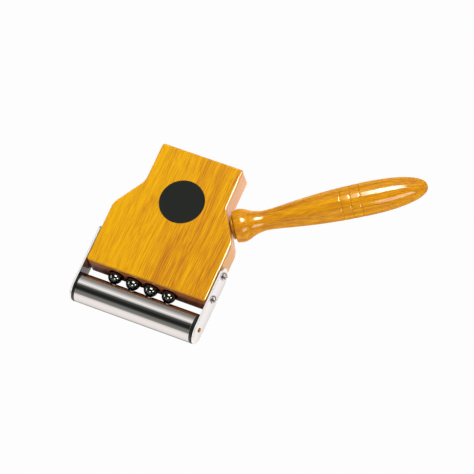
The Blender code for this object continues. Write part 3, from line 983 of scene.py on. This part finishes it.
# %% Glow of the floor in mirrors
GAP_EDGE = 6 * MM
GAP_BEHIND = 30 * MM
ARM_STRIP = (8 * MM, 10 * MM)  # from the left arm: where the gap is lit a little, and not
ARM_STRIP_SHADE = 0.85
GLOW_TINT = (1.0, 0.965, 0.945)
GLOW = (1.08, 1.3)
GLOW_Y = (-20 * MM, 40 * MM)
FRONT_GLOW = 0.11
FRONT_GLOW_Y = (-80 * MM, -95 * MM)
RIGHT_GLOW = 0.35
RIGHT_GLOW_X = (25 * MM, 8 * MM)
gap_x = (boxes["left_arm"][1].x, boxes["right_arm"][0].x)
gap_y = (boxes["roller_tube"][0].y, front.y + GAP_BEHIND)
floor_finish, nodes = start_finish("floor_white")
place = nodes.node("TexCoord", output="Object")
floor_x = nodes.axis(place, "X")
floor_y = nodes.axis(place, "Y")
gap = nodes.remap(floor_x, *(gap_x[0] + reach for reach in ARM_STRIP), ARM_STRIP_SHADE, 1.0)
for value, (low, high) in ((floor_x, gap_x), (floor_y, gap_y)):
    gap = gap * nodes.remap(value, low - GAP_EDGE, low) * nodes.remap(value, high + GAP_EDGE, high)
glow = nodes.remap(floor_y, *GLOW_Y, *GLOW) + nodes.remap(floor_y, *FRONT_GLOW_Y, 0, FRONT_GLOW)
glow = glow * nodes.remap(floor_x, *RIGHT_GLOW_X, RIGHT_GLOW, 1.0)
tinted = nodes.node("VectorMath", {"operation": "SCALE"}, {0: GLOW_TINT, "Scale": glow})
print("gap between the arms in mm", [round((high - low) / MM, 1) for low, high in (gap_x, gap_y)])

# %% Floor
FLOOR_RADIUS = 4.0
FLOOR_WHITE = 0.982
FLOOR_ALBEDO = 0.90
by_camera = nodes.node("LightPath", output="Is Camera Ray")
by_mirror = nodes.node("LightPath", output="Is Glossy Ray") * (1 - gap)
seen = nodes.node("Emission", sockets={"Strength": FLOOR_WHITE})
mirrored = nodes.node("Emission", sockets={"Color": tinted})
lit = nodes.node("BsdfDiffuse", sockets={"Color": (FLOOR_ALBEDO, FLOOR_ALBEDO, FLOOR_ALBEDO, 1)})
for factor, shader in ((by_mirror, mirrored), (by_camera, seen)):
    lit = nodes.node("MixShader", sockets={0: factor, 1: lit, 2: shader})
nodes.node("OutputMaterial", sockets={"Surface": lit})
floor_shape = bmesh.new()
bmesh.ops.create_circle(floor_shape, cap_ends=True, segments=LARGE_SIDES, radius=FLOOR_RADIUS)
floor = placed("floor", floor_shape, [floor_finish])
floor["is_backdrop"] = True
print("floor", FLOOR_RADIUS * 2, "m across")

# %% [markdown]
# ## Room
#
# Chrome shows what stands round it: a bright front, the dark room behind the camera and
# overhead, and a lit strip high behind the block. The room is a ramp over the angle from the
# front horizon, over the ceiling, to the back horizon. Dim parts of it are slightly cool and
# bright ones slightly warm, and its two sides are dark.

# %% Room
ROOM = [  # angle from the front horizon in degrees, and brightness
    (0, 1.16), (14, 0.98), (20, 0.34), (30, 0.26), (46, 0.21), (54, 0.04), (66, 0.020),
    (78, 0.028), (90, 0.10), (101, 0.10), (110, 0.10), (113.5, 0.62), (117, 0.95),
    (126, 0.98), (138, 0.58), (153, 0.31), (180, 0.26),
]
ROOM_COOL = (0.94, 1.03, 0.93)
ROOM_WARM = (1.0, 0.965, 0.94)
ROOM_WARM_FROM = 0.5
SIDE_DARK = (0.04, 0.04, 0.04)
SIDE_STARTS = (0.40, 0.62)  # sideways share of the direction
world = bpy.data.worlds.new("room")
world.use_nodes = True
nodes = Nodes(world.node_tree)
direction = nodes.node("TexCoord", output="Generated")
forwards = 0 - nodes.axis(direction, "Y")
angle = nodes.node("Math", {"operation": "ARCTAN2"}, {0: nodes.axis(direction, "Z"), 1: forwards})
stops = []
for degrees, brightness in ROOM:
    warmth = min(1, brightness / ROOM_WARM_FROM)
    tint = [cool + (warm - cool) * warmth for cool, warm in zip(ROOM_COOL, ROOM_WARM)]
    stops.append((degrees / 180, [brightness * share for share in tint]))
arch = nodes.node("ValToRGB", {"stops": stops}, {"Fac": angle * (1 / math.pi)})
sideways = nodes.absolute(nodes.axis(direction, "X"))
walls = nodes.mix(nodes.remap(sideways, *SIDE_STARTS), arch, SIDE_DARK)
by_camera = nodes.node("LightPath", output="Is Camera Ray")
seen = nodes.mix(by_camera, walls, (FLOOR_WHITE, FLOOR_WHITE, FLOOR_WHITE))
background = nodes.node("Background", sockets={"Color": seen, "Strength": 1.0})
nodes.node("OutputWorld", sockets={"Surface": background})
bpy.context.scene.world = world
print("room with", len(ROOM), "steps of grey")

# %% [markdown]
# ## Soft lights
#
# Lamps and light boxes are glowing rectangles. Hard edges would show in polished metal, so a
# box fades towards its edges. A light is either seen in gloss alone or lights all but gloss:
# then colours and highlights can be set one after the other.


# %% One function for all lights
def fade_light(nodes, fade):
    """Dim a light towards its edges, over a share of each of its two sides."""
    spot = nodes.node("NewGeometry", output="Parametric")
    shine = 1.0
    for letter, width in zip("XY", fade):
        share = nodes.axis(spot, letter)
        for from_edge in (share, 1 - share):
            shine = shine * nodes.remap(from_edge, 0.0, width, curve="SMOOTHSTEP")
    nodes.node("OutputLight", sockets={"Surface": nodes.node("Emission", sockets={"Color": shine})})


def soft_light(name, only, towards, target, distance, along, size, brightness, fade=(), gloss=True):
    """A rectangular light in a direction from its target. Pieces named in only are lit alone."""
    lamp = bpy.data.lights.new(name, "AREA")
    lamp.shape = "RECTANGLE"
    lamp.size, lamp.size_y = size
    lamp.energy = brightness * math.pi * size[0] * size[1]
    if fade:
        lamp.use_nodes = True
        fade_light(Nodes(lamp.node_tree), fade)
    item = bpy.data.objects.new(name, lamp)
    away = Vector(towards).normalized()
    across = away.cross(along).normalized()
    axes = Matrix((across.cross(away), across, away)).transposed()
    item.matrix_world = Matrix.Translation(Vector(target) + away * distance) @ axes.to_4x4()
    item.visible_diffuse = not gloss
    item.visible_glossy = gloss
    if only:
        receivers = bpy.data.collections.new(name + "_receivers")
        for piece in only:
            receivers.objects.link(piece)
        item.light_linking.receiver_collection = receivers
    bpy.context.scene.collection.objects.link(item)
    print(f"{name}: {lamp.energy:.2f} W from {size[0]} x {size[1]} m")


print("a light of brightness 1 and one square metre has", round(math.pi, 2), "W")

# %% [markdown]
# ## Lamps
#
# Wood shows its colour in broad, soft light. Four lamps give it: a large one overhead and
# behind, smaller ones at the right and in front, and a weak one at the left. A low fill
# lights the handle's lower side, which the photograph shows nearly as bright as its top.

# %% Lamps
ALONG_X = (1, 0, 0)
ALONG_Y = (0, 1, 0)
CENTRE = (0, 0, 0)
CLUB_MIDDLE = 112 * MM
handle_axis = handle_place.col[0].xyz
club = seat + handle_axis * CLUB_MIDDLE
handle = [pieces["turned_handle"]]
LAMPS = [  # name, pieces, direction, target, distance, turned along, size in metres, brightness
    ("ceiling_light", (), (-0.2, 0.6, 0.8), CENTRE, 1.9, ALONG_X, (1.2, 1.2), 5.6),
    ("right_light", (), (0.75, 0.2, 0.62), CENTRE, 1.9, ALONG_Y, (0.8, 0.8), 8.2),
    ("left_light", (), (-0.8, 0.1, 0.6), CENTRE, 1.9, ALONG_Y, (0.8, 0.8), 1.0),
    ("front_light", (), (0.1, -0.85, 0.52), CENTRE, 1.9, ALONG_X, (0.6, 0.6), 11),
    ("low_fill", handle, (0.5, -0.86, 0.12), club, 1.5, ALONG_X, (0.8, 0.3), 3.2),
]
for row in LAMPS:
    soft_light(*row, gloss=False)

# %% [markdown]
# ## Light boxes for the wood
#
# A polished piece shows a highlight where it mirrors a light box. A place that suits one piece
# spoils the next, so each kind of piece has boxes that it alone mirrors. The handle has one
# over its club and a low one at the right, and the block one that draws the bright line along
# its right edge.

# %% Boxes for the handle and the block
over_club = Vector((83.5, 250.3, 0)) * MM
right_edge = Vector((block_high.x, 0, block_high.z))
block = [pieces["wood_block"]]
WOOD_BOXES = [  # as the lamps, and the fade at the edges as shares of the two sides
    ("main_box", handle, (0, 0, 1), over_club, 0.6, handle_axis, (0.40, 0.385), 38, (0.42, 0.22)),
    ("low_box", handle, (0.70, -0.53, 0.45), club, 0.8, (0.6, 0.8, 0), (0.52, 0.37), 8, (0.15, 0.15)),
    ("edge_box", block, (0.34, 0.308, 0.89), right_edge, 0.9, ALONG_Y, (0.5, 0.18), 210, (0.1, 0.3)),
]
for row in WOOD_BOXES:
    soft_light(*row)

# %% [markdown]
# ## Light boxes for the metal
#
# The roller's main bands come from the room. A weak box over it softens them, and a wide box
# at each end keeps it bright when it is seen along its axis. The arms are flat, so large,
# even boxes fill their faces and edges. A ball mirrors the whole studio in a small spot, so
# it needs small, bright boxes: one above, one in front and one on each side. The screws and
# the axle's ends share a box at the right.

# %% Boxes for the roller, arms, balls and screws
LIT_HEIGHT = 20 * MM
LEFT_TURN = (0.3, -0.82, -0.37)
gap_middle = Vector((front.x, front.y, LIT_HEIGHT))
gap_right = Vector((block_high.x, front.y, LIT_HEIGHT))
balls_middle = sum((middle[ball] for ball in BALLS), Vector()) / len(BALLS)
right_screw = middle["right_front_screw"]
tube = [pieces["roller_tube"]]
arms = [pieces["left_arm"], pieces["right_arm"]]
balls = [pieces[ball] for ball in BALLS]
heads = [pieces[node] for node in SCREWS + ["roller_axle"]]
METAL_BOXES = [  # in the same order
    ("roller_box", tube, (-0.26, 0.30, 0.92), roller_axis, 0.6, ALONG_X, (1.2, 0.28), 0.75, (0.5, 0.4)),
    ("roller_left_box", tube, (-0.9, -0.1, 0.42), roller_axis, 0.8, ALONG_Y, (1.1, 0.75), 1.0, (0.3, 0.3)),
    ("roller_right_box", tube, (0.9, -0.1, 0.42), roller_axis, 0.8, ALONG_Y, (1.1, 0.75), 1.0, (0.3, 0.3)),
    ("arm_box", arms, (-0.28, -0.35, 0.89), gap_middle, 0.6, ALONG_Y, (1.7, 0.5), 0.95, (0.2, 0.2)),
    ("arm_edge_box", arms[1:], (0.62, 0.30, 0.72), gap_right, 0.6, ALONG_Y, (1.2, 1.0), 1.0, (0.2, 0.2)),
    ("ball_top", balls, (0.289, -0.008, 0.957), balls_middle, 0.7, ALONG_X, (0.58, 0.34), 8.5, (0.3, 0.3)),
    ("ball_front", balls, (0.199, -0.8245, 0.529), balls_middle, 0.7, ALONG_X, (0.24, 0.14), 18.5),
    ("ball_right", balls, (0.8346, -0.3266, 0.444), balls_middle, 0.7, ALONG_Y, (0.16, 0.10), 17),
    ("ball_left", balls, (-0.74, -0.43, 0.42), balls_middle, 0.7, LEFT_TURN, (0.66, 0.12), 7.0, (0.3, 0.3)),
    ("screw_box", heads, (0.8, 0.1, 0.6), right_screw, 0.7, ALONG_Y, (0.7, 0.5), 2.4, (0.3, 0.3)),
]
for row in METAL_BOXES:
    soft_light(*row)

# %% [markdown]
# ## Colour and size
#
# The photograph's colours are strong and its white is clean, so the plain sRGB transform is
# used, without the film curve that Blender starts with. Last, the size of the dressed part
# is printed beside the size of its solids.

# %% Finish
bpy.context.scene.view_settings.view_transform = "Standard"
visual_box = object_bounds()
sizes = {"cad": [list(corner) for corner in cad_box], "visual": [list(corner) for corner in visual_box]}
for label, (low, high) in sizes.items():
    print(label, "size in mm", [round((high[axis] - low[axis]) / MM, 2) for axis in range(3)])
